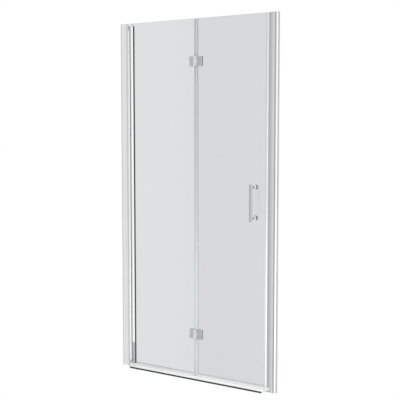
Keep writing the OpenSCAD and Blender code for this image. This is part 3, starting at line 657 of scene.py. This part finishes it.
# Half the thickness of a pane, in mm, and the clearance that keeps a seal off
# it, so that no faces coincide; together they are half a seal's pocket
GLASS_HALF = 3.0
SKIM = 0.04
POCKET = GLASS_HALF + SKIM
# Width in mm of the bevel along the cut edges of the panes, and how squarely a
# face must look across the door to be one of a pane's two broad ones
ARRIS = 0.3
SQUARE = 0.99
# Bead in mm that stands out of the hinge jamb
BEAD_OUT = 1.0
# Height in mm above which a drip seal is clear
CLEAR_FROM = 18.8
# Legs in mm of the closing seal, from their ends to the edge of the glass
CLOSING_LEG = 8.0
# Width in mm of the gasket beside the stile's lips, and its clearance to them
GASKET_SHOW = 8.0
LIP_GAP = 0.05


def cut_pane(node):
    """Pane with arrised edges; its cut edges get the ground-edge finish."""
    shape = copied(node)
    sharp = [edge for edge in shape.edges if edge.calc_face_angle() > CRISP]
    bmesh.ops.bevel(shape, geom=sharp, offset=ARRIS * MM, segments=1,
                    affect="EDGES", clamp_overlap=False)
    pane = finish_piece("cut_" + node, shape, finish_of(node), node)
    refinish(pane, PANE_EDGE, lambda face: abs(face.normal.y) < SQUARE)


def lip_seal():
    """White seal of the hinge jamb: a foot in the groove, a bead, and a lip that
    curves out to the round stile and closes the slit in front of it."""
    node = "hinge_jamb_seal"
    side = span_mm(node, 0)[1] - BEAD_OUT
    foot = [(-2.75, 7), (-1.25, 7), (-1.25, 6)]
    lip = [(0, -6.6), (2.2, -7.9), (4.6, -8.9), (6.5, -9.3), (7.8, -9.1),
           (7.7, -8.5), (6.4, -8.3), (4.6, -7.7), (2.3, -6.5), (0.9, -5.4),
           (0, -4.8)]
    bead = [(0, -1.6), (0.7, -1.3), (BEAD_OUT, -0.5), (BEAD_OUT, 0.5), (0.7, 1.3),
            (0, 1.6)]
    outline = [*mirrored(foot)[::-1], *lip, *bead, (0, 6), *foot[::-1]]
    shape = bmesh.new()
    extrude(shape, rounded([(side + x, y) for x, y in outline], 0.25),
            *span(node, 2), "Z")
    # Painted light: a whiter copy of the white seal finish
    finish_piece("lip_" + node, shape, PAINTED_LIT_LIP, node)


def drip_seals():
    """Clip under each pane with a curved fin outside and a wiper inside."""
    low = span_mm("pivot_drip_seal", 2)[0]
    outline = rounded([
        (-4.2, 26), (-POCKET, 26), (-POCKET, 19.94), (POCKET, 19.94), (POCKET, 26),
        (4.2, 26), (4.2, 18.7), (3.3, 18.7), (3.0, 14.5), (2.5, low), (1.4, low),
        (1.8, 14.5), (2.0, 18.7), (-2.6, 18.7), (-4.6, 16.0), (-6.5, 13.3),
        (-8.2, low), (-9.5, low), (-8.0, 13.5), (-6.1, 16.4), (-4.2, 18.9)], 0.35)
    for node in ("pivot_drip_seal", "leading_drip_seal"):
        shape = bmesh.new()
        extrude(shape, outline, *span(node, 0), "X")
        refinish(finish_piece("clip_" + node, shape, MILKY_SEAL, node),
                 MATERIALS["clear_seal"],
                 lambda face: face.center.z > CLEAR_FROM * MM)


def fold_seals():
    """Clip on each fold edge with a soft nose, in lengths between the hinges."""
    for node, side, material in (("fold_seal_pivot", -1, TINTED_SEAL),
                                 ("fold_seal_leading", 1, FOLD_CLEAR)):
        nose, tip = sorted(span_mm(node, 0), reverse=side < 0)
        outline = [(nose, -1.8), (nose + side * 0.6, -3.2), (nose + side * 1.9, -4.2),
                   (tip - side * 0.4, -4.2), (tip, -3.9), (tip, -POCKET),
                   (nose + side * 3.6, -POCKET)]
        levels = sorted({round(v.co.z, 4) for v in NODES[node].data.vertices})
        shape = bmesh.new()
        for low, high in zip(levels[::2], levels[1::2]):
            extrude(shape, rounded(outline + mirrored(outline), 0.5), low, high, "Z")
        finish_piece("clip_" + node, shape, material, node)


def closing_seal():
    """Magnetic seal of the closing edge: a clear clip and a white magnet pouch."""
    low, high = span_mm("magnetic_seal", 0)
    glass_end = low + CLOSING_LEG
    clip_end = glass_end - 0.4
    front = [(low, -POCKET), (low, -4.2), (clip_end, -4.2),
             (glass_end + 0.4, -5.0), (high, -5.0)]
    pouch = [(high - 1, 3.55), (high - 1, -3.55), (high - 3.7, -3.55),
             (high - 3.7, -0.05), (glass_end + 0.05, -0.05),
             (glass_end + 0.05, -POCKET)]
    shape = bmesh.new()
    extrude(shape, rounded(front + mirrored(front) + pouch, 0.5),
            *span("magnetic_seal", 2), "Z")
    seal = finish_piece("clip_magnetic_seal", shape, MATERIALS["white_seal"],
                        "magnetic_seal")
    refinish(seal, MATERIALS["clear_seal"],
             lambda face: face.center.x < clip_end * MM)


def ribbed_gasket():
    """Glazing gasket of the stile: ribbed outside, and a shorter tape inside."""
    low, high = span_mm("stile_gasket", 0)
    lips = high - GASKET_SHOW + LIP_GAP
    outside = [(low + 1.85, -POCKET), (high, -POCKET), (high, -3.6),
               (high - 1.4, -4.9), (high - 3.0, -5.2), (high - 3.6, -5.0),
               (high - 4.8, -5.5), (high - 5.4, -5.2), (high - 6.6, -5.6),
               (lips, -5.6), (lips, -4.8), (low, -4.8)]
    inside = [(low, 4.8), (lips, 4.8), (lips, 5.6), (high - 6, 5.2),
              (high - 4.6, 4.2), (high - 4.6, POCKET), (low + 1.85, POCKET)]
    shape = bmesh.new()
    extrude(shape, rounded(outside + inside, 0.25), *span("stile_gasket", 2), "Z")
    finish_piece("ribbed_stile_gasket", shape, MATERIALS["glazing_rubber"],
                 "stile_gasket")


# ---------------------------------------------------------------- handle

# Depth in mm of a rosette's back that takes black rubber, as a painted dark reflection
ROSETTE_DARK_RIM = 4.5


def handle_rosettes():
    """Satin discs whose back takes black rubber: a painted dark reflection on their
    rim.
    """
    for node in ("upper_handle_rosette", "lower_handle_rosette"):
        shape = copied(node)
        rim_start = span(node, 1)[1] - ROSETTE_DARK_RIM * MM
        score(shape, (0, rim_start, 0), (0, 1, 0))
        refinish(finished_copy(node, PROFILE_EDGE, shape),
                 MATERIALS["pad_rubber"], lambda face: face.center.y > rim_start)


# --------------------------------------------------------- all the pieces


def finish_cad():
    """Gives the finish of its slot to each CAD piece that stays in sight."""
    for node, cad in NODES.items():
        for slot in cad.material_slots:
            slot.link = "OBJECT"
            slot.material = finish_of(node)


finish_cad()
ease_copies()
wall_channels()
threshold_bar()
lip_seal()
polished_stile()
handle_rosettes()
cut_pane("pivot_glass")
cut_pane("leading_glass")
drip_seals()
fold_seals()
closing_seal()
ribbed_gasket()

# ------------------------------------------------------------------ studio

# What polished metal mirrors: brightness by compass angle in degrees, from
# straight in front of the door (0) round its hinge side (90) to behind (180)
STUDIO = [(-180, 0.78), (-100, 0.68), (-74, 0.85), (-58, 0.85), (-52, 0.66),
          (-26, 0.64), (-21, 1.0), (-13, 1.0), (-8, 0.6), (8, 0.6), (11.6, 0.34),
          (14, 0.34), (15.4, 0.9), (23.4, 0.86), (24.2, 0.8), (26.4, 0.78),
          (27.4, 0.65), (28.3, 0.567), (30.1, 0.495), (31.1, 0.42), (32.6, 0.41),
          (33.2, 0.445), (34.1, 0.445), (34.9, 0.79), (41.5, 0.79), (43.5, 1.0),
          (48.5, 1.0), (50.5, 0.79), (62, 0.79), (68, 0.95), (160, 0.95),
          (180, 0.78)]
# Upward slope, as a sine, over which these screens give way to the ceiling
SCREEN_TOP = (0.3, 0.7)
CEILING = (0.95, 0.95, 0.95, 1)
WHITE = (1, 1, 1, 1)
# Side of the floor in metres, its gap under the door, and the share of its white
# that needs no lamp; the rest keeps the door's shadow
FLOOR_SIDE = 60
FLOOR_GAP = 0.5 * MM
FLOOR_GLOW = 0.9


def screens_round(tree, direction):
    """Brightness of the studio's screens in a direction, by its compass angle."""
    away_x = add(tree, "Math", {0: direction.outputs["X"], 1: -1.0},
                 operation="MULTIPLY")
    away_y = add(tree, "Math", {0: direction.outputs["Y"], 1: -1.0},
                 operation="MULTIPLY")
    compass = add(tree, "Math", {0: away_x.outputs[0], 1: away_y.outputs[0]},
                  operation="ARCTAN2")
    turn = add(tree, "MapRange", {"Value": compass.outputs[0],
                                  "From Min": -math.pi, "From Max": math.pi})
    ramp = add(tree, "ValToRGB", {0: turn.outputs[0]})
    stops = ramp.color_ramp.elements
    for i, (angle, level) in enumerate(STUDIO):
        place = (angle + 180) / 360
        stop = stops[i] if i < 2 else stops.new(place)
        stop.position = place
        stop.color = (level, level, level, 1)
    return ramp.outputs[0]


def studio_world():
    """White to look at; metal mirrors a studio of pale and grey screens."""
    world = bpy.data.worlds.new("studio")
    bpy.context.scene.world = world
    world.use_nodes = True
    tree = world.node_tree
    tree.nodes.clear()
    out = add(tree, "OutputWorld")
    direction = add(tree, "SeparateXYZ",
                    {0: add(tree, "TexCoord").outputs["Generated"]})
    high = add(tree, "MapRange", {"Value": direction.outputs["Z"],
                                  "From Min": SCREEN_TOP[0],
                                  "From Max": SCREEN_TOP[1]})
    studio = add(tree, "Mix", {0: high.outputs[0], 6: screens_round(tree, direction),
                               7: CEILING}, data_type="RGBA")
    reflected = add(tree, "Background", {"Color": studio.outputs[2], "Strength": 1.0})
    white = add(tree, "Background", {"Color": WHITE, "Strength": 1.0})
    mix = add(tree, "MixShader", {0: seen_directly(tree), 1: reflected.outputs[0],
                                  2: white.outputs[0]})
    tree.links.new(mix.outputs[0], out.inputs["Surface"])


def pale_floor():
    """White floor that keeps a faint shadow of the door."""
    bpy.ops.mesh.primitive_plane_add(size=FLOOR_SIDE, location=(0, 0, -FLOOR_GAP))
    floor = bpy.context.object
    floor.name = "floor"
    material, tree, out = new_material("white_studio_floor")
    dust = grain(tree, 40, detail=2.0)
    painted = add(tree, "BsdfDiffuse", {
        "Color": two_tone(tree, spread(tree, dust, 0, 1), "FAFAFA", "F8F8F8")})
    glow = add(tree, "Emission", {"Color": WHITE, "Strength": 1.0})
    share = add(tree, "Math", {0: seen_directly(tree), 1: FLOOR_GLOW},
                operation="MULTIPLY")
    mix = add(tree, "MixShader", {0: share.outputs[0], 1: painted.outputs[0],
                                  2: glow.outputs[0]})
    tree.links.new(mix.outputs[0], out.inputs["Surface"])
    floor.data.materials.append(material)
    floor.visible_glossy = False


def aim(holder, place, target):
    """Puts a lamp at place and points it at target. It lights the door, but
    metal, glass and the camera don't see it."""
    bpy.context.scene.collection.objects.link(holder)
    holder.location = place
    direction = Vector(target) - Vector(place)
    holder.rotation_euler = direction.to_track_quat("-Z", "Y").to_euler()
    holder.visible_glossy = False
    holder.visible_camera = False
    holder.visible_transmission = False


def soft_sun(name, place, strength, angle):
    """Even light from far away with a soft shadow."""
    light = bpy.data.lights.new(name, "SUN")
    light.energy = strength
    light.angle = math.radians(angle)
    aim(bpy.data.objects.new(name, light), place, (0, 0, 1))


def strip_lamp(name, place, target, width, height, watts):
    """Long soft box that lights the part of the door near it."""
    light = bpy.data.lights.new(name, "AREA")
    light.shape = "RECTANGLE"
    light.size = width
    light.size_y = height
    light.energy = watts
    aim(bpy.data.objects.new(name, light), place, target)


studio_world()
pale_floor()
soft_sun("key_light", (1.6, -2.6, 4.2), 0.42, 40)
soft_sun("back_light", (-1.5, 2.4, 3.6), 0.3, 60)
strip_lamp("threshold_lamp", (0.1, -0.7, 0.5), (0, -0.04, 0), 1.0, 0.15, 2.3)
strip_lamp("strike_side_lamp", (0.8, -1.1, 1.0), (0.49, 0, 1.0), 0.3, 2.0, 6)

bpy.context.scene.view_settings.view_transform = "Standard"
